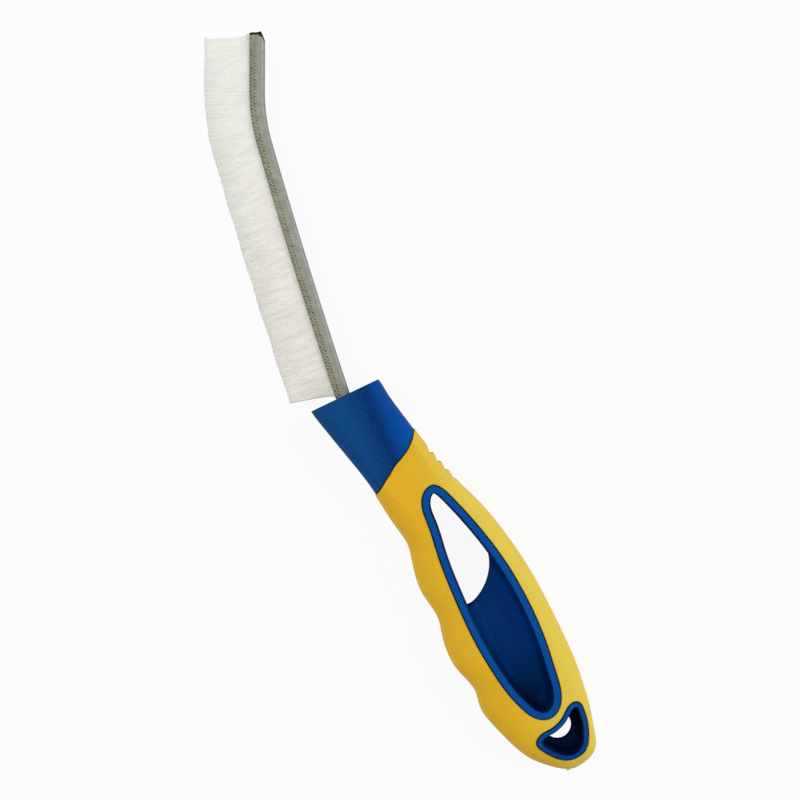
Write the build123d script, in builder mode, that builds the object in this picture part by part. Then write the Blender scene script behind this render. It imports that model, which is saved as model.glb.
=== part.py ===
# Grout brush: a moulded two-colour handle that holds a bent steel strip brush.
# The brush lies on its broad side. X runs along it towards the brush tip, Y towards the
# fingers and the bristles, Z through its thickness, and z = 0 is the plane it rests on.
# All sizes are in millimetres.
from build123d import *
from math import cos, sin, tan, pi, radians, hypot
import os

# Driving sizes of the handle
handle_length = 144.2
handle_width = 37.6
handle_thickness = 22.0
mouth_x = 8.4
mouth_slant = 2.0
axis_y = -0.185
grip_wall = 2.2
rim_stand = 0.3
collar_step = 0.3
bond_gap = 0.05
shut_off_gap = 0.3
web = 2.4
overrun = 5.0

# Window in the palm and hang hole in the butt: each is set by how much of the handle is
# left before it, behind it and on its two sides
window_setback = 38.64
window_land = 20.12
window_finger_wall = 8.8
window_thumb_wall = 5.8
window_rim = 2.3
hole_draft = 0.6
hang_length = 17.3
hang_land = 4.15
hang_finger_wall = 7.45
hang_thumb_wall = 2.42
hang_rim = 1.5
hang_draft = 0.4
hang_hole_radius = 4.6

# Thumb ribs and the two gate marks on the butt
rib_count = 4
rib_pitch = 3.7
rib_depth = 1.45
rib_riser = 0.65
ribs_setback = 29.4
gate_radius = 0.8
gate_stand = 0.4
gate_spacing = 4.3

# Strip brush
channel_height = 5.0
channel_width = 4.6
sheet = 0.6
spine_radius = 1.3
spine_below_axis = 1.75
tang_depth = 16.0
tang_fit = 0.06
heel_gap = 1.0
bow_radius = 2100.0
bow_length = 87.0
bend_radius = 60.0
tip_length = 19.1
strip_angle = 5.4
bend_turn = 16.2
nick_depth = 1.0
nick_length = 2.4
wire_diameter = 1.2
fold = 0.4
pack_fit = 0.08
pack_recess = 0.2
pack_end_gap = 0.12
trim_length = 15.1
strand_size = 0.6
strand_pitch = 1.22
lane_gap = 0.21
fan_share = 1.15
heel_lean = 8.0
toe_lean = 6.5
toe_lean_run = 9.0
lean_jitter = 0.5

half_thickness = handle_thickness / 2
mid_z = half_thickness
butt_x = mouth_x - handle_length

os.makedirs("parts", exist_ok=True)


# Outline of the handle
# Each row is one cross-section: how far it lies behind the mouth as a share of the
# length, its finger side and its thumb side as shares of the width, its half thickness
# as a share of the whole half, and the exponent that sets how square it is. The first
# row lies just ahead of the mouth, so the mouth can be cut at a slant.
section_shares = (
    (-0.004, 0.569, -0.106, 1.050, 4.5),
    (0.029, 0.545, -0.128, 1.060, 4.5),
    (0.060, 0.513, -0.149, 1.060, 4.5),
    (0.095, 0.476, -0.181, 1.060, 4.4),
    (0.137, 0.431, -0.218, 1.050, 4.3),
    (0.178, 0.388, -0.258, 1.040, 4.2),
    (0.220, 0.351, -0.306, 1.025, 4.1),
    (0.258, 0.328, -0.351, 1.010, 4.0),
    (0.296, 0.306, -0.399, 1.000, 3.9),
    (0.334, 0.277, -0.460, 1.000, 3.9),
    (0.372, 0.253, -0.512, 1.000, 3.9),
    (0.407, 0.273, -0.551, 1.000, 3.9),
    (0.445, 0.301, -0.585, 1.000, 3.9),
    (0.483, 0.310, -0.616, 1.000, 3.9),
    (0.518, 0.289, -0.638, 1.000, 3.9),
    (0.557, 0.269, -0.658, 1.000, 3.9),
    (0.594, 0.295, -0.670, 1.000, 3.9),
    (0.639, 0.315, -0.681, 1.000, 3.9),
    (0.678, 0.301, -0.6875, 1.000, 3.9),
    (0.712, 0.258, -0.6915, 1.000, 3.9),
    (0.747, 0.229, -0.693, 1.000, 3.9),
    (0.785, 0.246, -0.689, 0.995, 3.9),
    (0.829, 0.210, -0.673, 0.985, 3.9),
    (0.868, 0.157, -0.657, 0.965, 3.8),
    (0.906, 0.096, -0.628, 0.930, 3.6),
    (0.938, 0.024, -0.600, 0.870, 3.5),
    (0.963, -0.066, -0.575, 0.780, 3.3),
    (0.981, -0.146, -0.532, 0.660, 3.2),
    (0.993, -0.210, -0.458, 0.500, 3.0),
    (1.000, -0.266, -0.370, 0.300, 2.6),
)
section_points = 24


def section(row, inset):
    """Points round one cross-section, drawn in from the handle's surface by inset."""
    finger = axis_y + row[1] * handle_width
    thumb = axis_y + row[2] * handle_width
    centre_y = (finger + thumb) / 2
    half_width = (finger - thumb) / 2 - inset
    half_height = row[3] * half_thickness - inset
    points = []
    for step in range(section_points):
        turn = 2 * pi * step / section_points
        across = abs(cos(turn)) ** (2 / row[4]) * (1 if cos(turn) >= 0 else -1)
        up = abs(sin(turn)) ** (2 / row[4]) * (1 if sin(turn) >= 0 else -1)
        points.append((centre_y + half_width * across, mid_z + half_height * up))
    return points


def section_x(row, inset):
    """Where one cross-section stands: the butt end is drawn in by the same inset."""
    return mouth_x - row[0] * (handle_length - inset)


def chord_knots(points):
    """Where each point of a closed outline lies along it, as shares of its length."""
    places = [0.0]
    for point, after in zip(points, points[1:] + points[:1]):
        places.append(places[-1] + hypot(after[0] - point[0], after[1] - point[1]))
    return [place / places[-1] for place in places]


def closed_curve(points, knots):
    """A smooth closed curve; curves that are lofted together share their knots."""
    return Edge.make_spline([Vector(x, y, 0) for x, y in points], periodic=True, parameters=knots)


def side_y(x, column):
    """The outline's finger side (column 1) or thumb side (column 2) at x."""
    share = (mouth_x - x) / handle_length
    for first, second in zip(section_shares, section_shares[1:]):
        if first[0] <= share <= second[0]:
            along = (share - first[0]) / (second[0] - first[0])
            share = first[column] + along * (second[column] - first[column])
            return axis_y + share * handle_width
    return axis_y + section_shares[-1][column] * handle_width


def drawn_in(points, amount):
    """A closed outline moved inwards by amount, square to itself at each point."""
    moved = []
    for index, point in enumerate(points):
        before = points[index - 1]
        after = points[(index + 1) % len(points)]
        back = hypot(point[0] - before[0], point[1] - before[1])
        ahead = hypot(after[0] - point[0], after[1] - point[1])
        along_x = (after[0] - point[0]) * back / ahead + (point[0] - before[0]) * ahead / back
        along_y = (after[1] - point[1]) * back / ahead + (point[1] - before[1]) * ahead / back
        size = hypot(along_x, along_y)
        moved.append((point[0] - along_y / size * amount, point[1] + along_x / size * amount))
    return moved


def shrunk(points, centre, along_share, across_share):
    """A closed outline shrunk towards a centre by one share along X and one along Y."""
    return [
        (centre[0] + (x - centre[0]) * along_share, centre[1] + (y - centre[1]) * across_share)
        for x, y in points
    ]


# Outlines of the two blue rims, anticlockwise: shares of their length back from their
# front end, and shares of their width from their middle
window_shares = (
    (0.000, 0.162), (0.013, 0.281), (0.039, 0.361), (0.135, 0.420), (0.250, 0.467),
    (0.377, 0.496), (0.503, 0.500), (0.629, 0.480), (0.744, 0.425), (0.847, 0.345),
    (0.928, 0.232), (0.976, 0.117), (1.000, -0.069), (0.984, -0.246), (0.939, -0.369),
    (0.847, -0.438), (0.744, -0.482), (0.629, -0.500), (0.503, -0.476), (0.377, -0.412),
    (0.250, -0.296), (0.135, -0.157), (0.055, -0.040), (0.016, 0.042),
)
hang_shares = (
    (0.000, -0.365), (0.037, -0.270), (0.115, -0.175), (0.200, -0.070), (0.262, 0.065),
    (0.290, 0.190), (0.300, 0.328), (0.344, 0.430), (0.410, 0.492), (0.494, 0.500),
    (0.628, 0.440), (0.778, 0.338), (0.917, 0.204), (0.989, 0.073), (1.000, -0.058),
    (0.967, -0.188), (0.878, -0.298), (0.739, -0.381), (0.583, -0.441), (0.394, -0.486),
    (0.200, -0.501), (0.055, -0.480),
)
window_front = mouth_x - window_setback
window_length = handle_length - window_setback - window_land
window_waist = window_front - 0.55 * window_length
window_finger_edge = side_y(window_waist, 1) - window_finger_wall
window_thumb_edge = side_y(window_waist, 2) + window_thumb_wall
window_width = window_finger_edge - window_thumb_edge
window_centre_y = (window_finger_edge + window_thumb_edge) / 2
hang_front = butt_x + hang_land + hang_length
hang_waist = hang_front - 0.35 * hang_length
hang_finger_edge = side_y(hang_waist, 1) - hang_finger_wall
hang_thumb_edge = side_y(hang_waist, 2) + hang_thumb_wall
hang_width = hang_finger_edge - hang_thumb_edge
hang_centre_y = (hang_finger_edge + hang_thumb_edge) / 2
window_outline = [
    (window_front - along * window_length, window_centre_y + across * window_width)
    for along, across in window_shares
]
hang_outline = [
    (hang_front - along * hang_length, hang_centre_y + across * hang_width)
    for along, across in hang_shares
]
window_inner = drawn_in(window_outline, window_rim)
hang_inner = drawn_in(hang_outline, hang_rim)
window_knots = chord_knots(window_inner)
hang_knots = chord_knots(hang_inner)
section_knots = chord_knots(section(section_shares[len(section_shares) // 2], 0))
window_middle = (window_front - window_length / 2, window_centre_y)
hang_middle = (hang_front - 0.55 * hang_length, hang_centre_y)

# How the two scooped pockets narrow from the face down to the web: share of the depth,
# share of the length and share of the width
scoop_shares = (
    (0.00, 1.000, 1.00),
    (0.30, 0.992, 0.97),
    (0.55, 0.980, 0.92),
    (0.75, 0.962, 0.84),
    (0.90, 0.935, 0.72),
    (1.00, 0.900, 0.52),
)
hang_scoop_shares = (
    (0.00, 1.00, 1.00),
    (0.30, 0.97, 0.97),
    (0.60, 0.90, 0.92),
    (0.85, 0.78, 0.82),
    (1.00, 0.60, 0.66),
)
pocket_depth = half_thickness - web / 2

# The joint line between collar and grip, from the thumb side to the finger side, in
# shares of the length behind the mouth and of the width
joint_shares = (
    (0.108, -0.290), (0.133, -0.212), (0.156, -0.145), (0.183, 0.008), (0.193, 0.082),
    (0.204, 0.139), (0.216, 0.208), (0.229, 0.277), (0.237, 0.335), (0.249, 0.420),
)
joint_line = [
    (mouth_x - along * handle_length, axis_y + across * handle_width)
    for along, across in joint_shares
]

# The edge of the web in the window, where the through opening ends
hole_edge_shares = ((0.335, -0.26), (0.441, -0.02), (0.497, 0.40))
hole_edge = [
    (window_front - along * window_length, window_centre_y + across * window_width)
    for along, across in hole_edge_shares
]

# Path of the strip along its spine, on the middle plane
mouth_centre_y = (side_y(mouth_x, 1) + side_y(mouth_x, 2)) / 2
heading = Vector(cos(radians(strip_angle)), -sin(radians(strip_angle)), 0)
spine_at_mouth = Vector(mouth_x, mouth_centre_y - spine_below_axis, mid_z)
tang_end = spine_at_mouth - heading * tang_depth
bow_turn = bow_length / bow_radius * 180 / pi
with BuildLine() as spine:
    lead = Line(tang_end, spine_at_mouth + heading * heel_gap)
    bow_heel = JernArc(lead @ 1, lead % 1, bow_radius, -bow_turn / 2)
    bow_middle = JernArc(bow_heel @ 1, bow_heel % 1, bow_radius, -bow_turn / 2)
    bend = JernArc(bow_middle @ 1, bow_middle % 1, bend_radius, -bend_turn)
    tip = Line(bend @ 1, (bend @ 1) + (bend % 1) * tip_length)


def strip_plane(edge, share):
    """A plane square to the strip: its x points at the bristles, its y along Z."""
    along = edge % share
    return Plane(origin=edge @ share, x_dir=(-along.Y, along.X, 0), z_dir=along)


def mouth_edge_x(y):
    """Where the collar's slanted mouth lies at y."""
    return mouth_x + (mouth_centre_y - y) * tan(radians(mouth_slant))


# Blue core: the collar, the body under the grip and both rims, in one moulding
with BuildPart() as collar_form:
    for row in section_shares[:9]:
        with BuildSketch(Plane.YZ.offset(section_x(row, collar_step))):
            with BuildLine():
                add(closed_curve(section(row, collar_step), section_knots))
            make_face()
    loft()
    with BuildSketch(Plane.XY.offset(-overrun)):
        with BuildLine():
            shut_off = Spline(joint_line)
            Polyline(
                shut_off @ 1,
                ((shut_off @ 1).X, handle_width),
                (mouth_edge_x(handle_width), handle_width),
                (mouth_edge_x(-handle_width), -handle_width),
                ((shut_off @ 0).X, -handle_width),
                shut_off @ 0,
            )
        make_face()
    extrude(amount=handle_thickness + 2 * overrun, mode=Mode.INTERSECT)

with BuildPart() as rim_form:
    for row in section_shares[7:]:
        with BuildSketch(Plane.YZ.offset(section_x(row, -rim_stand))):
            with BuildLine():
                add(closed_curve(section(row, -rim_stand), section_knots))
            make_face()
    loft()
    with BuildSketch(Plane.XY.offset(-overrun)):
        with BuildLine():
            Spline(window_outline, periodic=True)
        make_face()
        with BuildLine():
            Spline(hang_outline, periodic=True)
        make_face()
    extrude(amount=handle_thickness + 2 * overrun, mode=Mode.INTERSECT)

core_inset = grip_wall + bond_gap
with BuildPart() as handle_core:
    for row in section_shares[1:-1]:
        with BuildSketch(Plane.YZ.offset(section_x(row, core_inset))):
            with BuildLine():
                add(closed_curve(section(row, core_inset), section_knots))
            make_face()
    loft()
    add(collar_form.part)
    add(rim_form.part)
    with BuildSketch(Plane.XY):
        Rectangle(3 * handle_length, 3 * handle_width)
    extrude(amount=handle_thickness, mode=Mode.INTERSECT)
    # scooped pockets of the window, one from each face
    for face_side in (1, -1):
        for depth, along, across in scoop_shares:
            level = mid_z + face_side * (half_thickness - depth * pocket_depth)
            with BuildSketch(Plane.XY.offset(level)):
                with BuildLine():
                    level_points = shrunk(window_inner, window_middle, along, across)
                    add(closed_curve(level_points, window_knots))
                make_face()
        loft(mode=Mode.SUBTRACT)
    # scooped pockets of the hang hole
    for face_side in (1, -1):
        for depth, along, across in hang_scoop_shares:
            level = mid_z + face_side * (half_thickness - depth * pocket_depth)
            with BuildSketch(Plane.XY.offset(level)):
                with BuildLine():
                    level_points = shrunk(hang_inner, hang_middle, along, across)
                    add(closed_curve(level_points, hang_knots))
                make_face()
        loft(mode=Mode.SUBTRACT)
    # through opening of the window, bounded by the web's curved edge
    with BuildSketch(Plane.XY.offset(-overrun)):
        with BuildLine():
            Spline(drawn_in(window_outline, window_rim + hole_draft), periodic=True)
        make_face()
        with BuildLine():
            web_edge = ThreePointArc(*hole_edge)
            Polyline(
                web_edge @ 1,
                (window_front + overrun, (web_edge @ 1).Y),
                (window_front + overrun, (web_edge @ 0).Y - overrun),
                ((web_edge @ 0).X, (web_edge @ 0).Y - overrun),
                web_edge @ 0,
            )
        make_face(mode=Mode.INTERSECT)
    extrude(amount=handle_thickness + 2 * overrun, mode=Mode.SUBTRACT)
    # through opening of the hang hole
    with BuildSketch(Plane.XY.offset(-overrun)):
        with BuildLine():
            Spline(drawn_in(hang_outline, hang_rim + hang_draft), periodic=True)
        make_face()
        with Locations((hang_front - 0.384 * hang_length, hang_centre_y + 0.016 * hang_width)):
            Circle(hang_hole_radius, mode=Mode.INTERSECT)
    extrude(amount=handle_thickness + 2 * overrun, mode=Mode.SUBTRACT)
    # slot for the strip's tang
    slot_plane = strip_plane(lead, 0)
    with BuildSketch(slot_plane):
        with Locations((-tang_fit, 0)):
            Rectangle(
                channel_height + 2 * tang_fit,
                channel_width + 2 * tang_fit,
                align=(Align.MIN, Align.CENTER),
            )
    extrude(amount=tang_depth + overrun, mode=Mode.SUBTRACT)
handle_core.part.label = "handle_core"
export_step(handle_core.part, "parts/handle_core.step")

# Yellow grip: a soft skin moulded over the core, open at the collar and at both rims
with BuildPart() as grip_overmould:
    for row in section_shares:
        with BuildSketch(Plane.YZ.offset(section_x(row, 0))):
            with BuildLine():
                add(closed_curve(section(row, 0), section_knots))
            make_face()
    loft()
    with BuildSketch(Plane.XY.offset(rim_stand)):
        Rectangle(3 * handle_length, 3 * handle_width)
    extrude(amount=handle_thickness - 2 * rim_stand, mode=Mode.INTERSECT)
    # the collar's side of the joint line is left open
    with BuildSketch(Plane.XY.offset(-overrun)):
        with BuildLine():
            lip = Spline([(x - shut_off_gap, y) for x, y in joint_line])
            Polyline(
                lip @ 1,
                ((lip @ 1).X, handle_width),
                (mouth_x + overrun, handle_width),
                (mouth_x + overrun, -handle_width),
                ((lip @ 0).X, -handle_width),
                lip @ 0,
            )
        make_face()
    extrude(amount=handle_thickness + 2 * overrun, mode=Mode.SUBTRACT)
    # cavity that the core fills
    for row in section_shares[1:-1]:
        with BuildSketch(Plane.YZ.offset(section_x(row, grip_wall))):
            with BuildLine():
                add(closed_curve(section(row, grip_wall), section_knots))
            make_face()
    loft(mode=Mode.SUBTRACT)
    # openings for the two rims
    with BuildSketch(Plane.XY.offset(-overrun)):
        with BuildLine():
            Spline(drawn_in(window_outline, -shut_off_gap), periodic=True)
        make_face()
        with BuildLine():
            Spline(drawn_in(hang_outline, -shut_off_gap), periodic=True)
        make_face()
    extrude(amount=handle_thickness + 2 * overrun, mode=Mode.SUBTRACT)
    # thumb ribs: saw teeth that fade towards the palm
    for rib in range(rib_count):
        tooth_x = mouth_x - ribs_setback - rib * rib_pitch
        depth = rib_depth * (1 - (rib / rib_count) ** 3)
        last_x = tooth_x + rib_pitch
        with BuildSketch(Plane.XY.offset(-overrun)):
            with BuildLine():
                Polyline(
                    (tooth_x, side_y(tooth_x, 2)),
                    (tooth_x + rib_riser, side_y(tooth_x, 2) + depth),
                    (last_x, side_y(last_x, 2)),
                    (last_x, side_y(last_x, 2) - overrun),
                    (tooth_x, side_y(last_x, 2) - overrun),
                    close=True,
                )
            make_face()
        extrude(amount=handle_thickness + 2 * overrun, mode=Mode.SUBTRACT)
    # two small gate marks on the butt
    gate_y = side_y(butt_x, 1) - 0.37 * gate_spacing
    with BuildSketch(Plane.YZ.offset(butt_x - gate_stand)):
        with Locations((gate_y + gate_spacing / 2, mid_z), (gate_y - gate_spacing / 2, mid_z)):
            Circle(gate_radius)
    extrude(amount=grip_wall / 2 + gate_stand)
grip_overmould.part.label = "grip_overmould"
export_step(grip_overmould.part, "parts/grip_overmould.step")

# Steel channel: one folded strip, bent near its tip, its tang pressed into the collar
with BuildPart() as brush_channel:
    with BuildSketch(strip_plane(lead, 0)) as channel_section:
        Rectangle(channel_height, channel_width, align=(Align.MIN, Align.CENTER))
        fillet(channel_section.vertices().group_by(Axis.X)[0], spine_radius)
        with Locations((sheet, 0)):
            RectangleRounded(
                channel_height + 2 * spine_radius,
                channel_width - 2 * sheet,
                spine_radius - sheet,
                align=(Align.MIN, Align.CENTER),
                mode=Mode.SUBTRACT,
            )
    sweep(path=spine.line)
    # the corner of the spine is sheared off at the tip
    tip_end = strip_plane(tip, 1)
    with BuildSketch(Plane(origin=tip_end.origin, x_dir=tip_end.x_dir, z_dir=(0, 0, 1))):
        with BuildLine():
            Polyline(
                (nick_depth, 0),
                (0, nick_length),
                (-nick_depth, nick_length),
                (-nick_depth, -nick_depth),
                (nick_depth, -nick_depth),
                close=True,
            )
        make_face()
    extrude(amount=half_thickness, both=True, mode=Mode.SUBTRACT)
brush_channel.part.label = "brush_channel"
export_step(brush_channel.part, "parts/brush_channel.step")

# Anchor wire: the filaments are folded round it inside the channel
wire_place = sheet + fold + wire_diameter / 2
with BuildPart() as anchor_wire:
    with BuildSketch(strip_plane(lead, 0)):
        with Locations((wire_place, 0)):
            Circle(wire_diameter / 2)
    sweep(path=spine.line)
anchor_wire.part.label = "anchor_wire"
export_step(anchor_wire.part, "parts/anchor_wire.step")

# Bristles: four runs along the strip, each a slice of the folded pack with its strands
pack_width = channel_width - 2 * sheet - 2 * pack_fit
pack_foot = sheet + pack_fit
pack_top = channel_height - pack_recess
strand_root = pack_top - 2 * pack_recess
strand_length = trim_length + channel_height - strand_root
lane_count = round(pack_width / (strand_size + lane_gap))
lane_pitch = pack_width / lane_count
lean_end = bow_length
runs = (
    ("bristles_heel", bow_heel, 0, bow_length / 2, 4),
    ("bristles_middle", bow_middle, bow_length / 2, bow_length / 2, 4),
    ("bristles_bend", bend, bow_length, radians(bend_turn) * (bend_radius + channel_height), 6),
    ("bristles_toe", tip, bow_length, tip_length, 1),
)
for run_name, run_path, run_start, run_length, chords in runs:
    rows = round(run_length / strand_pitch)
    end_share = pack_end_gap / run_length
    stops = [end_share + (1 - 2 * end_share) * chord / chords for chord in range(chords + 1)]
    with BuildLine() as pack_path:
        first_chord = Polyline([run_path @ stop for stop in stops])
    with BuildPart() as bristle_run:
        with BuildSketch(strip_plane(first_chord, 0)) as pack_section:
            with Locations((pack_foot, 0)):
                Rectangle(pack_top - pack_foot, pack_width, align=(Align.MIN, Align.CENTER))
            fillet(pack_section.vertices().group_by(Axis.X)[0], spine_radius - sheet)
            with Locations((wire_place, 0)):
                Circle(wire_diameter / 2 + pack_fit, mode=Mode.SUBTRACT)
        sweep(path=pack_path.line, transition=Transition.RIGHT)
        for number in range(rows * lane_count):
            strand_row = number // lane_count
            lane = number % lane_count - (lane_count - 1) / 2
            stagger = 0.25 if number % lane_count % 2 else -0.25
            share = (strand_row + 0.5 + stagger) / rows
            station = run_start + share * run_length
            lean = heel_lean * max(0, 1 - station / lean_end)
            if run_path is tip:
                lean = -toe_lean * max(0, 1 - (1 - share) * tip_length / toe_lean_run)
            lean = lean + lean_jitter * sin(2.4 * strand_row + 1.7 * lane)
            square = strip_plane(run_path, share)
            side = square.x_dir * cos(radians(lean)) + square.z_dir * sin(radians(lean))
            climb = square.y_dir * (lane * lane_pitch * fan_share / strand_length)
            aim = side + climb
            root = square.origin + square.x_dir * strand_root + square.y_dir * (lane * lane_pitch)
            with BuildSketch(Plane(origin=root, x_dir=square.z_dir, z_dir=aim)):
                Rectangle(strand_size, strand_size)
        extrude(amount=strand_length)
    bristle_run.part.label = run_name
    export_step(bristle_run.part, "parts/" + run_name + ".step")
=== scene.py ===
# %% [markdown]
# # A grout brush, piece by piece
# The brush is a long narrow tool: a two-colour moulded handle, a folded steel channel that
# is bent near its tip, and a row of pale filaments trimmed to one height. The exact model
# of its hard parts is already packed, so this lesson loads it first and then gives each
# part its surface. The steel channel and the filaments are made again here, finer than
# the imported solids, because their crimp marks and their thousands of strands are what
# the eye reads. Sizes of the brush are written in millimetres and turned into metres by
# mm; the middle plane of the whole tool lies 11 mm above the floor.

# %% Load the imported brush
import math
import random

import bpy
from mathutils import Matrix, Vector
from mathutils.geometry import tessellate_polygon


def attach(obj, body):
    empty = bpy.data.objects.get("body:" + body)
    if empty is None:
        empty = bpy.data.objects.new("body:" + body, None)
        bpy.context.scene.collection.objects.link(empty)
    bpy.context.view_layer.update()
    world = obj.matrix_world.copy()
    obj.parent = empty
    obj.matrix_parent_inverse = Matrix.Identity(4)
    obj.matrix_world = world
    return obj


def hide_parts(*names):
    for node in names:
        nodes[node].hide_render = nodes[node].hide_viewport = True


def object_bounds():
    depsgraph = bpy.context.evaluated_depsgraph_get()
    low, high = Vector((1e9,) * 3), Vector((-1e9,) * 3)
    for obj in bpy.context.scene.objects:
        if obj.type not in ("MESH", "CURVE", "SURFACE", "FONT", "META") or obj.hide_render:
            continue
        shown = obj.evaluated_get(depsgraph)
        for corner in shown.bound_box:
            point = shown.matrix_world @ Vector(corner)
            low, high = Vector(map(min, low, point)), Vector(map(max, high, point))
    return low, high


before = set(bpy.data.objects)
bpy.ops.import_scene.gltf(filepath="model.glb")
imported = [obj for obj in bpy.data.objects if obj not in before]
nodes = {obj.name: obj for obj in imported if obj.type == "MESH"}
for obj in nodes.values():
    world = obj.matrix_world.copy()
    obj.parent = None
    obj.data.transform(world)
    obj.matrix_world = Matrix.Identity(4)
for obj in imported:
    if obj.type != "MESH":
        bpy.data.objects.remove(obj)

packed_low, packed_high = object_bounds()
mm = 0.001
middle_height = 11.0
packed_size = [round(c / mm, 1) for c in packed_high - packed_low]
print("loaded", len(nodes), "parts, box", packed_size, "mm, middle plane", middle_height, "mm up")

# %% [markdown]
# ## The camera
# The tool is seen almost from straight above. The picture's frame is square and 267.2 mm
# wide at the middle of the tool, with the brush pointing to the upper left. The camera
# stands about half a metre away, so the outer walls of the pockets show more and more
# towards the butt; a long lens would hide them. It leans one degree to the picture's
# left, so the right-hand walls show a little more. The Standard view shows each colour
# as it is written.

# %% Camera at the photograph's angle
picture_right = Vector((-0.4033, -0.9150, 0))
picture_up = Vector((0.9150, -0.4033, 0))
picture_middle = Vector((-0.39 * mm, -7.77 * mm, middle_height * mm))
picture_width = 267.2 * mm
camera_distance = 0.56
camera_lean = math.radians(1)
sensor_width = 36.0
nearest_seen, farthest_seen = 0.01, 20

straight_up = Vector((0, 0, 1))
towards_camera = straight_up * math.cos(camera_lean) - picture_right * math.sin(camera_lean)
camera = bpy.data.objects.new("camera", bpy.data.cameras.new("camera"))
bpy.context.scene.collection.objects.link(camera)
camera.data.sensor_width = sensor_width
camera.data.lens = sensor_width * camera_distance / picture_width
camera.location = picture_middle + towards_camera * camera_distance
camera_right = picture_up.cross(towards_camera).normalized()
camera_up = towards_camera.cross(camera_right)
camera.rotation_mode = "QUATERNION"
axes = (camera_right, camera_up, towards_camera)
camera.rotation_quaternion = Matrix(axes).transposed().to_quaternion()
camera.data.clip_start, camera.data.clip_end = nearest_seen, farthest_seen
bpy.context.scene.camera = camera
bpy.context.scene.view_settings.view_transform = "Standard"
print("camera", [round(c, 3) for c in camera.location], "lens", round(camera.data.lens, 1), "mm")

# %% [markdown]
# ## Small helpers for materials
# A finish is a handful of nodes: where on the surface we are, a pattern at that place,
# and what the pattern does to colour, gloss and relief. Each node could be made and wired
# by hand, but the same few come back in every finish, so these helpers name them. Every
# pattern is measured in millimetres on the object itself, so it keeps its scale from any
# side and needs no unwrapped map.

# %% Helpers for materials
def new_finish(name, roughness):
    """A material with one main shader, and that shader."""
    finish = bpy.data.materials.new(name)
    finish.use_nodes = True
    shader = finish.node_tree.nodes["Principled BSDF"]
    shader.inputs["Roughness"].default_value = roughness
    return finish, shader


def add_node(finish, kind, **settings):
    """A new node of a kind, with its settings."""
    node = finish.node_tree.nodes.new("ShaderNode" + kind)
    for setting, value in settings.items():
        setattr(node, setting, value)
    return node


def wire_up(finish, source, target):
    """Joins the output of one node to the input of another."""
    finish.node_tree.links.new(source, target)


def place_on_object(finish, stretch=(1, 1, 1)):
    """The place on the object, stretched where a pattern runs in one direction."""
    coordinates = add_node(finish, "TexCoord")
    mapping = add_node(finish, "Mapping")
    mapping.inputs["Scale"].default_value = stretch
    wire_up(finish, coordinates.outputs["Object"], mapping.inputs["Vector"])
    return mapping.outputs["Vector"]


def grain(finish, size, detail=2.0, stretch=(1, 1, 1)):
    """A cloudy pattern whose marks are about size millimetres across."""
    noise = add_node(finish, "TexNoise")
    noise.inputs["Scale"].default_value = 1 / (size * mm)
    noise.inputs["Detail"].default_value = detail
    wire_up(finish, place_on_object(finish, stretch), noise.inputs["Vector"])
    return noise.outputs["Fac"]


def calculate(finish, operation, first, second):
    """Two values put together by a Math node; either can be a pattern or a number."""
    node = add_node(finish, "Math", operation=operation)
    for socket, value in zip(node.inputs, (first, second)):
        if isinstance(value, (int, float)):
            socket.default_value = value
        else:
            wire_up(finish, value, socket)
    return node.outputs["Value"]


def multiply(finish, first, second):
    """Two patterns at once: strong only where both are."""
    return calculate(finish, "MULTIPLY", first, second)


def blend_colours(finish, amount, first, second):
    """Two colours, each plain or the outcome of another blend, mixed by a pattern."""
    node = add_node(finish, "Mix", data_type="RGBA")
    wire_up(finish, amount, node.inputs["Factor"])
    for name, colour in (("A", first), ("B", second)):
        socket = next(i for i in node.inputs if i.name == name and i.type == "RGBA")
        if isinstance(colour, tuple):
            socket.default_value = colour
        else:
            wire_up(finish, colour, socket)
    return next(o for o in node.outputs if o.type == "RGBA")


print("helpers for nodes ready")

# %% [markdown]
# ## Floor and background
# The photograph has a white ground. The floor here is a pale matt sheet that the camera
# sees nearly white, while it still takes the tool's soft shadow: most of what the camera
# reads is the plain white, and the rest is the lit sheet. Brighter lamps would also
# whiten it, but they would burn out the pale filaments. The world does the same: the
# camera sees it white, and the tool gets a soft, slightly cool room light from it.

# %% Floor and world
floor_size = 6.0
white_share = 0.94
floor_white = (0.985, 0.985, 0.985, 1)
backdrop_white = (0.98, 0.98, 0.98, 1)
sheet_dark, sheet_light = (0.84, 0.84, 0.84, 1), (0.87, 0.87, 0.87, 1)
room_colour, room_strength = (0.96, 0.98, 1.0, 1), 0.42


def seen_directly(tree):
    """1 for rays from the camera, 0 for light that comes by way of another surface."""
    return tree.nodes.new("ShaderNodeLightPath").outputs["Is Camera Ray"]


half = floor_size / 2
floor_corners = [(-half, -half, 0), (half, -half, 0), (half, half, 0), (-half, half, 0)]
floor_mesh = bpy.data.meshes.new("floor")
floor_mesh.from_pydata(floor_corners, [], [(0, 1, 2, 3)])
floor = bpy.data.objects.new("floor", floor_mesh)
bpy.context.scene.collection.objects.link(floor)

sheet_finish, sheet_shader = new_finish("floor_sheet", 0.9)
sheet_shader.inputs["Specular IOR Level"].default_value = 0.0
tint = blend_colours(sheet_finish, grain(sheet_finish, 120), sheet_dark, sheet_light)
wire_up(sheet_finish, tint, sheet_shader.inputs["Base Color"])
white = add_node(sheet_finish, "Emission")
white.inputs["Color"].default_value = floor_white
seen_white = multiply(sheet_finish, seen_directly(sheet_finish.node_tree), white_share)
mix = add_node(sheet_finish, "MixShader")
sheet_output = sheet_finish.node_tree.nodes["Material Output"]
wire_up(sheet_finish, seen_white, mix.inputs[0])
wire_up(sheet_finish, sheet_shader.outputs[0], mix.inputs[1])
wire_up(sheet_finish, white.outputs[0], mix.inputs[2])
wire_up(sheet_finish, mix.outputs[0], sheet_output.inputs[0])
floor_mesh.materials.append(sheet_finish)

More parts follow.
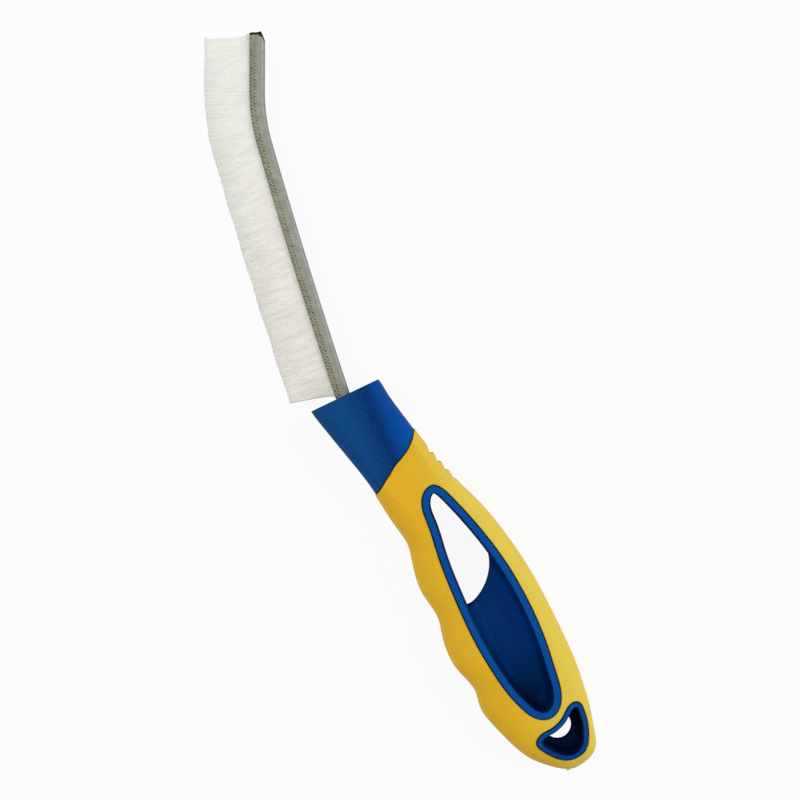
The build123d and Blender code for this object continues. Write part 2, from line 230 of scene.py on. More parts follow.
world = bpy.data.worlds.new("studio")
bpy.context.scene.world = world
world.use_nodes = True
tree = world.node_tree
room_light = tree.nodes["Background"]
room_light.inputs["Color"].default_value = room_colour
room_light.inputs["Strength"].default_value = room_strength
backdrop = tree.nodes.new("ShaderNodeBackground")
backdrop.inputs["Color"].default_value = backdrop_white
choice = tree.nodes.new("ShaderNodeMixShader")
tree.links.new(seen_directly(tree), choice.inputs[0])
tree.links.new(room_light.outputs[0], choice.inputs[1])
tree.links.new(backdrop.outputs[0], choice.inputs[2])
tree.links.new(choice.outputs[0], tree.nodes["World Output"].inputs[0])
print("floor", floor_size, "m, white share", white_share)

# %% [markdown]
# ## Lamps
# The light in the photograph is soft and comes mostly from the picture's right and top:
# the thumb side of the handle is paler than the finger side, and the right walls of the
# pockets are the darkest. Room light alone would light all sides alike, and a small lamp
# would draw hard shadows. One broad lamp on the right does it; a weaker one from the left
# keeps the left edges readable.

# %% Lamps
def soft_lamp(name, right, up, height, size, power, colour):
    """A square lamp placed in the picture's directions, in metres, aimed at the tool."""
    lamp = bpy.data.objects.new(name, bpy.data.lights.new(name, "AREA"))
    lamp.data.shape = "SQUARE"
    lamp.data.size = size
    lamp.data.energy = power
    lamp.data.color = colour
    lamp.location = (
        picture_middle + picture_right * right + picture_up * up + straight_up * height
    )
    lamp.rotation_mode = "QUATERNION"
    lamp.rotation_quaternion = (picture_middle - lamp.location).to_track_quat("-Z", "Y")
    bpy.context.scene.collection.objects.link(lamp)
    print(name, power, "W")


warm_white, cool_white = (1.0, 0.99, 0.98), (0.97, 0.98, 1.0)
soft_lamp("lamp_right", right=0.75, up=0.20, height=0.50, size=0.8, power=5.2, colour=warm_white)
soft_lamp("lamp_left", right=-0.60, up=0.15, height=0.60, size=0.8, power=3.6, colour=cool_white)

# %% [markdown]
# ## Patterns, places and colours
# The finishes of the tool need more than the floor did: a pattern stretched until it is
# either there or not, the place along one axis as a mask, the pebbled texture of eroded
# moulds, and colours written as they are read off a screen. Blender mixes light in linear
# values, so such a colour is turned into those first.

# %% Helpers for patterns, places and colours
def spread(finish, value, low, high, to_low, to_high):
    """Stretches a pattern from one range of values to another."""
    node = add_node(finish, "MapRange", clamp=True)
    ends = {"From Min": low, "From Max": high, "To Min": to_low, "To Max": to_high}
    for name, number in ends.items():
        node.inputs[name].default_value = number
    wire_up(finish, value, node.inputs["Value"])
    return node.outputs["Result"]


def clouds(finish, size, detail, stretch=(1, 1, 1)):
    """The cloudy pattern, stretched until it reaches 0 and 1."""
    return spread(finish, grain(finish, size, detail, stretch), 0.35, 0.65, 0, 1)


def pebbles(finish, size, smoothness=0.6):
    """Cells about size millimetres across, 0 at their middles and more towards their rims."""
    cells = add_node(finish, "TexVoronoi", feature="SMOOTH_F1")
    cells.inputs["Scale"].default_value = 1 / (size * mm)
    cells.inputs["Smoothness"].default_value = smoothness
    wire_up(finish, place_on_object(finish), cells.inputs["Vector"])
    return cells.outputs["Distance"]


def place_along(finish, axis):
    """The place along one axis of the object, in metres."""
    split = add_node(finish, "SeparateXYZ")
    wire_up(finish, place_on_object(finish), split.inputs["Vector"])
    return split.outputs[axis]


def from_srgb(red, green, blue):
    """A colour as it is read off a screen, 0 to 255, in the linear values Blender uses."""
    linear = []
    for level in (red, green, blue):
        share = level / 255
        linear.append(share / 12.92 if share <= 0.04045 else ((share + 0.055) / 1.055) ** 2.4)
    return (*linear, 1.0)


print("helpers for patterns, places and colours ready")

# %% [markdown]
# ## Helpers that read the shape
# Painted shade in recesses and along edges, and the glow between the filaments, follow the
# shape of a part. They could be painted by hand, but then they would stay behind when the
# shape changes. These helpers measure the shape where a ray lands: how near an edge it is,
# how much open space is in front of it, and whether it lies level.

# %% Helpers that read the shape
def soft_normal(finish, radius):
    """The way the surface faces, with its edges rounded by a small radius."""
    softened = add_node(finish, "Bevel", samples=5)
    softened.inputs["Radius"].default_value = radius * mm
    return softened.outputs["Normal"]


def near_edge(finish, softened, still_flat=0.99, full_edge=0.93):
    """1 close to an edge, where the softened surface turns away from the true one."""
    compare = add_node(finish, "VectorMath", operation="DOT_PRODUCT")
    wire_up(finish, softened, compare.inputs[0])
    wire_up(finish, add_node(finish, "NewGeometry").outputs["Normal"], compare.inputs[1])
    return spread(finish, compare.outputs["Value"], still_flat, full_edge, 0, 1)


def relief(finish, height, depth, softened=None):
    """Shading for raised and sunk places depth millimetres high, on rounded edges if wished."""
    bump = add_node(finish, "Bump")
    bump.inputs["Distance"].default_value = depth * mm
    wire_up(finish, height, bump.inputs["Height"])
    if softened:
        wire_up(finish, softened, bump.inputs["Normal"])
    return bump.outputs["Normal"]


def openness(finish, reach):
    """1 on open surfaces, less in recesses whose walls are within reach millimetres."""
    occlusion = add_node(finish, "AmbientOcclusion", samples=4)
    occlusion.inputs["Distance"].default_value = reach * mm
    return occlusion.outputs["AO"]


def levelness(finish):
    """1 on surfaces that lie level, 0 on upright walls."""
    split = add_node(finish, "SeparateXYZ")
    wire_up(finish, add_node(finish, "TexCoord").outputs["Normal"], split.inputs["Vector"])
    return calculate(finish, "ABSOLUTE", split.outputs["Z"], 0)


print("helpers for edges and recesses ready")

# %% [markdown]
# ## Blue plastic
# The core, the collar and the rims are one moulding of hard blue polypropylene. The
# collar was spark-eroded in the mould, which leaves a fine crinkle; the pale flecks of
# light on it are painted highlights. The rims and the pockets are smooth and a little
# glossier. The collar could have a material of its own, but it is one moulding with the
# rest, so one material does both: a mask along the handle's length tells the collar from
# the rest. The collar has three bands of painted light and shade along it: a dull one of
# painted shade from its middle on, a greyer painted sheen with the flecks over the side
# where the filaments stand, and a clearer blue towards the thumb as painted light. The
# rims are painted as clear a blue, as light on their tops, and painted shade darkens the
# pockets, most of all their upright walls, and the sharp edges that the seam runs along.

# %% Colours and masks of the blue plastic
plain_blue_dark, plain_blue_light = from_srgb(2, 60, 132), from_srgb(4, 68, 144)
# Painted highlight: pale flecks where the collar's crinkle catches the light.
fleck_highlight_blue = from_srgb(34, 90, 146)
# Painted light: the rims' tops are painted a brighter, clearer blue.
lit_rim_blue = from_srgb(6, 76, 152)
# Painted shade: the pockets, most of all their upright walls, are painted this dark blue.
pocket_shade_blue = from_srgb(2, 18, 42)
# Painted shade: sharp edges, such as those the seam runs along, are painted near black.
edge_shade_blue = from_srgb(2, 14, 34)
# The collar's bands are painted light and shade: a darker band from the middle towards the finger
# side, a greyer painted sheen at the finger side's edge, and a brighter blue on the thumb side as
# painted light.
# Each band of the collar: where it starts and is full, sideways in mm, how strong, and its colour.
collar_light_and_shade_bands = (
    (-2, 2, 1, from_srgb(0, 48, 108)),
    (1, -6, 1, from_srgb(0, 76, 160)),
    (3, 10, 0.9, from_srgb(12, 72, 130)),
)
collar_from, collar_full = -29.8 * mm, -28.8 * mm
rim_from, rim_full = 10.0 * mm, 10.4 * mm
blue_cloud, fleck_size, crinkle_size, pebble_size, skin_size = 14, 0.5, 0.5, 0.8, 0.35
fleck_strength, pebble_share, skin_share = 0.55, 0.8, 0.25
wall_share = 0.5
core_relief, core_rounding = 0.09, 0.45
pocket_reach = 16
edge_shade_strength = 0.9


def colour_collar(finish, collar, plain):
    """The collar's bands of painted light and shade and its painted highlight flecks, laid over the
    plain blue.
    """
    sideways = place_along(finish, "Y")
    toned = plain
    for start, full, strength, colour in collar_light_and_shade_bands:
        band = spread(finish, sideways, start * mm, full * mm, 0, strength)
        toned = blend_colours(finish, multiply(finish, band, collar), toned, colour)
    # Painted highlights: pale flecks, strongest on the finger side.
    fleck = spread(finish, grain(finish, fleck_size, 4), 0.50, 0.68, 0, fleck_strength)
    fleck = multiply(finish, fleck, spread(finish, sideways, 5 * mm, -4 * mm, 1, 0.1))
    return blend_colours(finish, multiply(finish, fleck, collar), toned, fleck_highlight_blue)


print("blue colours ready,", len(collar_light_and_shade_bands), "bands on the collar")

# %% Blue plastic
def make_blue_plastic():
    finish, shader = new_finish("blue_plastic", 0.45)
    shader.inputs["Specular IOR Level"].default_value = 0.04
    collar = spread(finish, place_along(finish, "X"), collar_from, collar_full, 0, 1)
    plain = blend_colours(finish, clouds(finish, blue_cloud, 3), plain_blue_dark, plain_blue_light)
    flecked = colour_collar(finish, collar, plain)

    # Painted light: the tops of the rims, away from the collar, take the brighter rim blue.
    height = calculate(finish, "SUBTRACT", place_along(finish, "Z"), middle_height * mm)
    off_middle = calculate(finish, "ABSOLUTE", height, 0)
    outermost = spread(finish, off_middle, rim_from, rim_full, 0, 1)
    rim = calculate(finish, "SUBTRACT", outermost, collar)
    rim_lit = blend_colours(finish, rim, flecked, lit_rim_blue)

    # Painted shade: recesses and upright walls are darkened towards the pocket blue.
    level = spread(finish, levelness(finish), 0.2, 0.8, wall_share, 1)
    exposed = multiply(finish, openness(finish, pocket_reach), level)
    unshaded = spread(finish, exposed, 0.15, 0.60, 0, 1)
    shaded = blend_colours(finish, unshaded, pocket_shade_blue, rim_lit)

    # Painted shade: the surface is darkened near sharp edges.
    softened = soft_normal(finish, core_rounding)
    edge = multiply(finish, near_edge(finish, softened), edge_shade_strength)
    wire_up(finish, blend_colours(finish, edge, shaded, edge_shade_blue), shader.inputs["Base Color"])

    rough = spread(finish, collar, 0, 1, 0.48, 0.56)
    uneven = spread(finish, grain(finish, 3, 2), 0.3, 0.7, -0.04, 0.05)
    wire_up(finish, calculate(finish, "ADD", rough, uneven), shader.inputs["Roughness"])

    eroded = multiply(finish, pebbles(finish, pebble_size), pebble_share)
    crinkle = calculate(finish, "ADD", grain(finish, crinkle_size, 4), eroded)
    crinkle = multiply(finish, crinkle, collar)
    skin = multiply(finish, grain(finish, skin_size, 2), skin_share)
    bumps = relief(finish, calculate(finish, "ADD", crinkle, skin), core_relief, softened)
    wire_up(finish, bumps, shader.inputs["Normal"])
    return finish


blue_plastic = make_blue_plastic()
nodes["handle_core"].data.materials.clear()
nodes["handle_core"].data.materials.append(blue_plastic)
print("blue plastic on handle_core")

# %% [markdown]
# ## Yellow rubber
# The grip is a soft skin moulded over the core. Such rubber is matt, with a fine sandy
# texture from the mould, and it looks dusty at a low angle, which sheen gives. Its
# colour is an amber yellow that drifts a little in large clouds; painted shade makes it
# deeper and warmer on the finger side, and a painted sheen makes it paler on the thumb
# side. A photograph of rubber could be laid over it, but it would have to be unwrapped
# and would repeat; noise does neither. The fine seam where it meets the blue is painted
# dark as shade: hardly any other place has a wall so close, so a very short reach of the
# openness finds it.

# %% Yellow rubber
amber_dark, amber_light = from_srgb(222, 175, 18), from_srgb(230, 187, 32)
# Painted shade: a deeper, warmer amber on the finger side.
finger_shade_yellow = from_srgb(234, 178, 12)
# Painted sheen: a paler yellow on the thumb side, which faces the light.
thumb_sheen_yellow = from_srgb(226, 198, 66)
speck_yellow = from_srgb(196, 150, 30)
# Painted shade: the fine seam next to the blue is painted dark brown.
seam_shade_brown = from_srgb(72, 50, 16)
amber_cloud, speck_size, patch_size, sand_size = 22, 0.45, 1.2, 0.4
sand_depth, grip_rounding = 0.06, 0.6
seam_reach = 0.8


def make_yellow_rubber():
    finish, shader = new_finish("yellow_rubber", 0.6)
    shader.inputs["Specular IOR Level"].default_value = 0.3
    shader.inputs["Sheen Weight"].default_value = 0.05
    shader.inputs["Sheen Roughness"].default_value = 0.5
    sideways = place_along(finish, "Y")
    # Painted shade on the finger side and painted sheen on the thumb side.
    finger_shade_side = spread(finish, sideways, -8 * mm, 4 * mm, 0, 0.7)
    thumb_sheen_side = spread(finish, sideways, -5 * mm, -14 * mm, 0, 1)
    base = blend_colours(finish, clouds(finish, amber_cloud, 3), amber_dark, amber_light)
    base = blend_colours(finish, finger_shade_side, base, finger_shade_yellow)
    base = blend_colours(finish, thumb_sheen_side, base, thumb_sheen_yellow)
    speck = spread(finish, grain(finish, speck_size, 3), 0.30, 0.45, 0.45, 0)
    specked = blend_colours(finish, speck, base, speck_yellow)
    # Painted shade in the fine seam, where the openness is small.
    unshaded = spread(finish, openness(finish, seam_reach), 0.0, 0.25, 0, 1)
    wire_up(finish, blend_colours(finish, unshaded, seam_shade_brown, specked), shader.inputs["Base Color"])
    rough = spread(finish, grain(finish, patch_size, 3), 0.3, 0.7, 0.54, 0.68)
    wire_up(finish, rough, shader.inputs["Roughness"])
    softened = soft_normal(finish, grip_rounding)
    sand = relief(finish, grain(finish, sand_size, 4), sand_depth, softened)
    wire_up(finish, sand, shader.inputs["Normal"])
    return finish


yellow_rubber = make_yellow_rubber()
nodes["grip_overmould"].data.materials.clear()
nodes["grip_overmould"].data.materials.append(yellow_rubber)
print("yellow rubber on grip_overmould")

# %% [markdown]
# ## The line that the strip follows
# Channel, wire and filaments share one line, the spine of the folded steel. It leaves the
# mouth at a slight slant, bows very gently, turns through 16 degrees near the end and
# runs straight to the tip. It could be drawn as a curve object, but every piece that
# follows it has points of its own to place. So a distance along the line is turned here
# into a place and a heading, and all of them ask the same function.

# %% The strip's line
mouth = (8.4, 6.657)
strip_slant = math.radians(5.4)
heel_gap = 1.0
bow_radius, bow_length = 2100.0, 87.0
bend_radius, bend_turn = 60.0, math.radians(16.2)
bend_length = bend_radius * bend_turn
tip_length = 19.1
strip_end = heel_gap + bow_length + bend_length + tip_length
straight = 0
strip_runs = (
    (heel_gap, straight),
    (bow_length, bow_radius),
    (bend_length, bend_radius),
    (tip_length, straight),
)


def strip_at(distance):
    """Place (x, y) on the spine and heading angle, at a distance past the mouth, in mm."""
    x, y = mouth
    angle = -strip_slant
    left = distance
    for number, (length, radius) in enumerate(strip_runs, 1):
        last = number == len(strip_runs)
        step = left if last or left < length else length
        if radius:
            turned = step / radius
            chord = 2 * radius * math.sin(turned / 2)
            x += chord * math.cos(angle - turned / 2)
            y += chord * math.sin(angle - turned / 2)
            angle -= turned
        else:
            x += step * math.cos(angle)
            y += step * math.sin(angle)
        left -= step
        if not last and left <= 0:
            break
    return x, y, angle


def on_strip(distance, across, up):
    """A point given along the strip, across it towards the bristles, and up; in metres."""
    x, y, angle = strip_at(distance)
    return (
        (x - across * math.sin(angle)) * mm,
        (y + across * math.cos(angle)) * mm,
        (middle_height + up) * mm,
    )


tip = [round(c / mm, 1) for c in on_strip(strip_end, 0, 0)]
print("strip is", round(strip_end, 1), "mm long past the mouth; its tip is at", tip)

# %% [markdown]
# ## Steel channel with its crimp marks
# The channel is one thin sheet folded into a U round the wire and the filaments. It is
# made by sweeping the outline of the fold along the strip in short steps. A curve with a
# bevel could do that too, but it would give no hold on single points, and the dents and
# the sheared end need just that. The outline comes first.

# %% Section of the folded sheet
channel_height, channel_width, sheet = 5.0, 4.6, 0.6
spine_radius, lip_radius = 1.3, 0.15
side_step = 0.19
lip_steps, outer_steps, inner_steps = 2, 6, 3
half_width = channel_width / 2


def corner(centre_across, centre_up, radius, start, end, steps):
    """Points on an arc about a centre, from one angle to another, in degrees."""
    turns = [math.radians(start + (end - start) * i / steps) for i in range(steps + 1)]
    return [
        (centre_across + radius * math.cos(turn), centre_up + radius * math.sin(turn))
        for turn in turns
    ]


def folded_section():
    """Points (across, up) round the fold: the outer side first, then back inside it."""
    flat = channel_height - lip_radius - spine_radius
    side_points = round(flat / side_step)
    side = [spine_radius + flat * i / side_points for i in range(1, side_points)]
    lip_middle, lip_side = channel_height - lip_radius, half_width - lip_radius
    lower_lip = corner(lip_middle, -lip_side, lip_radius, 0, -90, lip_steps)
    upper_lip = corner(lip_middle, lip_side, lip_radius, 90, 0, lip_steps)
    spine_side = half_width - spine_radius
    lower_corner = corner(spine_radius, -spine_side, spine_radius, -90, -180, outer_steps)
    upper_corner = corner(spine_radius, spine_side, spine_radius, 180, 90, outer_steps)
    inner_radius = spine_radius - sheet
    inner_half = half_width - sheet
    inner_side = inner_half - inner_radius
    inner_upper = corner(spine_radius, inner_side, inner_radius, 90, 180, inner_steps)
    inner_lower = corner(spine_radius, -inner_side, inner_radius, 180, 270, inner_steps)
    return (
        lower_lip
        + [(across, -half_width) for across in reversed(side)]
        + lower_corner
        + upper_corner
        + [(across, half_width) for across in side]
        + upper_lip
        + [(channel_height, inner_half)]
        + inner_upper
        + inner_lower
        + [(channel_height, -inner_half)]
    )


section = folded_section()
print("the fold's section has", len(section), "points")

# %% [markdown]
# ## Crimp marks
# A knurled roller closed the channel and left two staggered rows of small dents near its
# lips, and a fainter third. Those dents are real geometry here: points on the two flat
# sides are pushed in where a dent lies. A boolean cut for each dent would be far slower
# and leave ragged faces, and a bump in the material would leave the exported mesh smooth.

# %% Dents of the crimping roller
dent_pitch = 1.1
dent_half_along, dent_half_across = 0.38, 0.56
dent_slant = 0.3
dent_wear, wear_rate, wear_shift = 0.15, 2.7, 5
dent_flatness = 0.8
# Each row: how far across the strip, its shift in pitches, its depth, and which way it slants.
dent_rows = ((4.30, 0.0, 0.18, -1), (3.35, 0.5, 0.18, 1), (2.50, 0.0, 0.06, -1))


def dent_depth(distance, across):
    """How far the roller pushed the sheet in, at a place on its flat sides, in mm."""
    depth = 0.0
    for row_across, shift, deepest, lean in dent_rows:
        off_across = (across - row_across) / dent_half_across
        if abs(off_across) >= 1:
            continue
        slant = lean * dent_slant * (across - row_across) / dent_pitch
        place = distance / dent_pitch + shift - slant
        off_along = (place - round(place)) * dent_pitch / dent_half_along
        if abs(off_along) < 1:
            turned = wear_rate * round(place) + wear_shift * row_across
            wear = 1 - dent_wear + dent_wear * math.sin(turned)
            bowl = math.cos(off_along * math.pi / 2) * math.cos(off_across * math.pi / 2)
            depth += deepest * wear * bowl**dent_flatness
    return depth


print("a dent in the outer row is", round(dent_depth(0, dent_rows[0][0]), 2), "mm deep")

# %% [markdown]
# ## Sheared end
# At the tip the shears left a nick in the corner of the spine and a small burr beside it,
# and the lips end a little short. Cutting the end off with another solid would leave long
# thin faces. Here the last steps of each line of points just stop short or reach on, and
# the metal near the cut is painted nearly black, as shade of the cut end.

# %% The sheared end
nick_across, nick_length = 1.2, 2.3
burr_across, burr_height = 1.8, 0.55
lip_curl = 0.35
sheared_length = 0.9


def shear_line(across):
    """How far short of the strip's end the sheet stops, at a place across the strip."""
    if across < nick_across:
        return (nick_length + burr_height) * (1 - across / nick_across) - burr_height
    if across < burr_across:
        return burr_height * (across - nick_across) / (burr_across - nick_across) - burr_height
    return lip_curl * max(0, 2 * (across - channel_height) + 1)


def shaded_near_cut(left, across):
    """Painted shade of the cut end: 1 at the shears' cut, 0 where it is far enough away; the
    spine's corner has more.
    """
    reach = sheared_length * (2 if across < burr_across else 1)
    return max(0, 1 - left / reach)


print("the nick in the spine is", round(shear_line(0), 2), "mm long")

# %% [markdown]
# ## Sweeping the channel
# The steps are long in the collar, where nothing is seen, and short outside it, eight to
# a dent's pitch. Each point also keeps three values: how far across the strip it is, how
# deep its dent is, and how near the shears' cut. The material reads them. The dents start
# just inside the mouth, and the last 4 mm of the sweep ease into the sheared end.

# %% Steps along the channel
tang_depth, tang_step = 16.0, 1.0
channel_step = 0.1375


def channel_stations():
    """Distances past the mouth where the section is placed, from the tang to the tip."""
    stations = [-tang_depth + tang_step * i for i in range(round(tang_depth / tang_step))]
    while stations[-1] < strip_end:
        stations.append(stations[-1] + channel_step)
    stations[-1] = strip_end
    return stations


stations = channel_stations()
print(len(stations), "steps along the channel")

# %% Points of the channel, with the values they keep
first_dent = -1
ease_length = 4.0
full_dent = 0.2
tiny = 1e-6


def channel_points():
    """The points of every step, and three values kept at each point for the material."""
    points = []
    kept = {"across": [], "dent": [], "sheared": []}
    eased_from = strip_end - ease_length
    for station in stations:
        for across, up in section:
            distance = station
            if station > eased_from:
                share = (station - eased_from) / (strip_end - eased_from)
                distance = station - shear_line(across) * share
            flat_side = abs(abs(up) - half_width) < tiny
            dent = dent_depth(distance, across) if flat_side and station > first_dent else 0
            up -= math.copysign(dent, up)
            points.append(on_strip(distance, across, up))
            kept["across"].append(across / channel_height)
            kept["dent"].append(dent / full_dent)
            kept["sheared"].append(shaded_near_cut(strip_end - station, across))
    return points, kept


channel_places, kept_values = channel_points()
print(len(channel_places), "points, each with", ", ".join(kept_values))

# %% Faces of the channel
def channel_faces():
    """Four-sided faces between the steps, and a cap of triangles on each end."""
    faces = []
    count = len(section)
    for ring in range(len(stations) - 1):
        here, beyond = ring * count, (ring + 1) * count
        for i in range(count):
            j = (i + 1) % count
            faces.append((here + i, here + j, beyond + j, beyond + i))
    cap = tessellate_polygon([[Vector((across, up, 0)) for across, up in section]])
    last = (len(stations) - 1) * count
    for a, b, c in cap:
        faces.append((a, b, c))
        faces.append((last + a, last + c, last + b))
    return faces


channel_mesh = bpy.data.meshes.new("channel_crimped")
channel_mesh.from_pydata(channel_places, [], channel_faces())
for name, values in kept_values.items():
    channel_mesh.attributes.new(name, "FLOAT", "POINT").data.foreach_set("value", values)
channel_mesh.polygons.foreach_set("use_smooth", [True] * len(channel_mesh.polygons))
channel_mesh.update()
channel = bpy.data.objects.new("channel_crimped", channel_mesh)
bpy.context.scene.collection.objects.link(channel)
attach(channel, "root")
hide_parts("brush_channel")
print("channel:", len(stations), "steps,", len(channel_mesh.polygons), "faces")

# %% [markdown]
# ## Steel finishes
# The channel is zinc-coated: a soft grey metal with faint drawing lines along it. Where
# the roller pressed it the zinc is duller and a little olive, and it is darker in the
# dents, in patches, and along the lips; towards the spine it takes a cooler, darker grey,
# a painted reflection of the room, and the sheared end is painted nearly black as shade.
# A second pattern could darken the dents, but it would drift away from them along the
# bend. The three values kept at the points of the mesh stay with them. The wire inside is
# drawn steel, brighter and smoother. Both are metals, so their colour is the colour of
# what they reflect.

# %% Galvanised steel and drawn wire
rolled_dark, rolled_light = from_srgb(160, 160, 139), from_srgb(178, 177, 158)
plain_dark, plain_light = from_srgb(162, 164, 153), from_srgb(174, 175, 164)
# Painted reflection: a cooler, darker grey on the spine's rounded corner.
spine_reflection_dark, spine_reflection_light = from_srgb(140, 147, 145), from_srgb(152, 158, 156)
scuff_grey = from_srgb(124, 124, 108)
dent_grey = from_srgb(92, 91, 74)
lip_grey = from_srgb(78, 77, 64)
# Painted shade: the metal at the sheared end is painted nearly black.
sheared_shade_grey = from_srgb(38, 38, 30)
wire_dark, wire_light = from_srgb(150, 150, 148), from_srgb(186, 186, 184)
zinc_cloud, scuff_size, dent_patch, gloss_patch = 2.5, 0.35, 3.0, 0.8
line_size, line_share, pit_size, zinc_relief = 0.5, 0.6, 0.25, 0.02
streak_size, wire_relief = 0.4, 0.01
drawn_along, wire_drawn_along = (0.06, 1, 1), (0.05, 1, 1)


def kept_value(finish, name):
    """A value kept at the points of the channel's mesh."""
    return add_node(finish, "Attribute", attribute_name=name).outputs["Fac"]


def make_galvanised_steel():
    finish, shader = new_finish("galvanised_steel", 0.6)
    shader.inputs["Metallic"].default_value = 1.0
    across = kept_value(finish, "across")
    dent = kept_value(finish, "dent")
    sheared = kept_value(finish, "sheared")
    cloud = clouds(finish, zinc_cloud, 4)
    rolled = blend_colours(finish, cloud, rolled_dark, rolled_light)
    plain = blend_colours(finish, cloud, plain_dark, plain_light)
    spine_reflection_grey = blend_colours(finish, cloud, spine_reflection_dark, spine_reflection_light)
    # Painted reflection: the cooler grey towards the spine.
    base = blend_colours(finish, spread(finish, across, 0.04, 0.26, 0, 1), spine_reflection_grey, plain)
    base = blend_colours(finish, spread(finish, across, 0.40, 0.52, 0, 1), base, rolled)
    scuffed = spread(finish, grain(finish, scuff_size, 4), 0.55, 0.7, 0, 0.5)
    patches = spread(finish, grain(finish, dent_patch, 3), 0.35, 0.65, 0.55, 1)
    darkened_dents = spread(finish, multiply(finish, dent, patches), 0.12, 0.6, 0, 0.85)
    on_lip = spread(finish, across, 0.93, 0.98, 0, 0.8)
    # Painted shade at the sheared end.
    cut = spread(finish, sheared, 0.05, 0.3, 0, 1)
    marks = ((scuffed, scuff_grey), (darkened_dents, dent_grey), (on_lip, lip_grey), (cut, sheared_shade_grey))
    for amount, colour in marks:
        base = blend_colours(finish, amount, base, colour)
    wire_up(finish, base, shader.inputs["Base Color"])
    rough = spread(finish, grain(finish, gloss_patch, 3), 0.3, 0.7, 0.54, 0.68)
    wire_up(finish, rough, shader.inputs["Roughness"])
    lines = multiply(finish, grain(finish, line_size, 3, drawn_along), line_share)
    uneven = calculate(finish, "ADD", lines, grain(finish, pit_size, 2))
    wire_up(finish, relief(finish, uneven, zinc_relief), shader.inputs["Normal"])
    return finish


def make_drawn_wire():
    finish, shader = new_finish("drawn_wire", 0.3)
    shader.inputs["Metallic"].default_value = 1.0
    streak = clouds(finish, streak_size, 3, wire_drawn_along)
    drawn = blend_colours(finish, streak, wire_dark, wire_light)
    wire_up(finish, drawn, shader.inputs["Base Color"])
    wire_up(finish, relief(finish, streak, wire_relief), shader.inputs["Normal"])
    return finish


channel_mesh.materials.append(make_galvanised_steel())
nodes["anchor_wire"].data.materials.clear()
nodes["anchor_wire"].data.materials.append(make_drawn_wire())
print("steel on channel_crimped and anchor_wire")

# %% [markdown]
# ## Filaments
# The bristles are thousands of thin polymer filaments, folded double round the wire and
# trimmed to one height. Each one is a thin three-sided rod here. Hair curves would look
# alike, but they leave no mesh to export. Each is a little thicker towards its cut end,
# so that few gaps open where the pack fans out.

# %% Sizes of the filament pack
pack_half, lip_level, trim_level = 1.5, 5.0, 19.75
fold_level, root_level = 1.6, 2.4
fold_turns = (0.0, 0.33, 0.66)
fold_side, fold_side_growth = 0.72, 0.8
fold_back, fold_back_growth = 0.68, 0.18
lip_widening, fan_share = 1.02, 1.15
filament_radius, tip_swell = 0.12, 0.4
filaments_per_mm = 160
print("one filament is", 2 * filament_radius, "mm thick,", filaments_per_mm, "stand on each mm")

# %% [markdown]
# ## Lean, pull and trim
# Filaments all square to the strip would look like a comb. The real ones lean towards the
# tip at the heel, less and less along the strip, and are drawn back at the toe.
# Neighbours lean alike in small tufts, and the trimmed edge swells a little. A few smooth
# functions of the place on the strip say all that, and each filament adds a small random
# share of its own.

# %% How the filaments lean and where they are cut
heel_lean = 8.0
toe_lean_run, toe_pull, toe_curl = 9.0, 2.6, 3.8
heel_pull_run, heel_pull, heel_curl = 1.4, 0.8, 1.0
tuft_run, tuft_kick, tuft_from = 0.7, 0.22, 12.8
lean_waves = ((0.22, 1.9, 0), (0.3, 0.83, 1), (0.12, 4.1, 2))
swell, swell_rate, swell_middle = 0.12, 0.34, 34
ripple, ripple_rate, ripple_start = 0.04, 1.7, 0.6


def lean_at(distance):
    """How the filaments lean at a place on the strip, in degrees, towards the tip."""
    return heel_lean * max(0, 1 - (distance - heel_gap) / bow_length)


def end_pull(distance, reach):
    """How far a filament is drawn back towards the mouth, reach mm above the lips.

    The last ones at the toe curl back close to the lips, then run straight, and the very
    last turn out again at their cut ends. The first ones at the heel leave the lips a
    little early.
    """
    toe_share = max(0, 1 - (strip_end - distance) / toe_lean_run)
    heel_share = max(0, 1 - (distance - heel_gap) / heel_pull_run)
    tuft_share = max(0, 1 - (strip_end - distance) / tuft_run) * max(0, reach - tuft_from)
    toe = toe_pull * toe_share * (1 - math.exp(-reach / toe_curl)) - tuft_kick * tuft_share
    return toe + heel_pull * heel_share * math.exp(-reach / heel_curl)


def tuft_lean(distance):
    """A slow waver of the lean, in degrees, shared by neighbours."""
    total = 0.0
    for height, rate, start in lean_waves:
        total += height * math.sin(rate * distance + start)
    return total


def trim_waver(distance):
    """How far the trimmed edge swells above its level or sinks below it, in mm."""
    slow = swell * math.cos(swell_rate * (distance - swell_middle))
    return slow + ripple * math.sin(ripple_rate * distance + ripple_start)


print("lean", round(lean_at(heel_gap), 1), "degrees at the heel,", lean_at(strip_end), "at the toe")

# %% [markdown]
# ## One filament
# A filament is a line of a few points first and gets its thickness after that. Near the
# two ends of the strip the line has more points, because it curves there. Where the open
# ends of the channel show it, the line also goes round the wire. Round rods would have
# twice the faces and look no different at this width.

# %% One filament as a line, and as a thin rod
lean_spread, trim_spread, bow_spread = 0.3, 0.06, 0.08
curved_shares, straight_shares = (0.12, 0.35, 0.85, 1.0), (0.5, 1.0)
rod_turns = [math.radians(turn) for turn in (90, 210, 330)]
rod_sides = [(math.cos(turn), math.sin(turn)) for turn in rod_turns]
draw = random.Random(7)


def folded_root(distance, up):
    """The filament's way round the wire: a quarter turn, wider for the outer filaments."""
    side = 1 if up >= 0 else -1
    share = min(1, abs(up) / pack_half)
    side_radius = fold_side + fold_side_growth * share
    back_radius = fold_back + fold_back_growth * share
    line = []
    for turn_share in fold_turns:
        turn = turn_share * math.pi / 2
        depth = fold_level - back_radius * math.cos(turn)
        line.append((distance, depth, side * side_radius * math.sin(turn)))
    return line


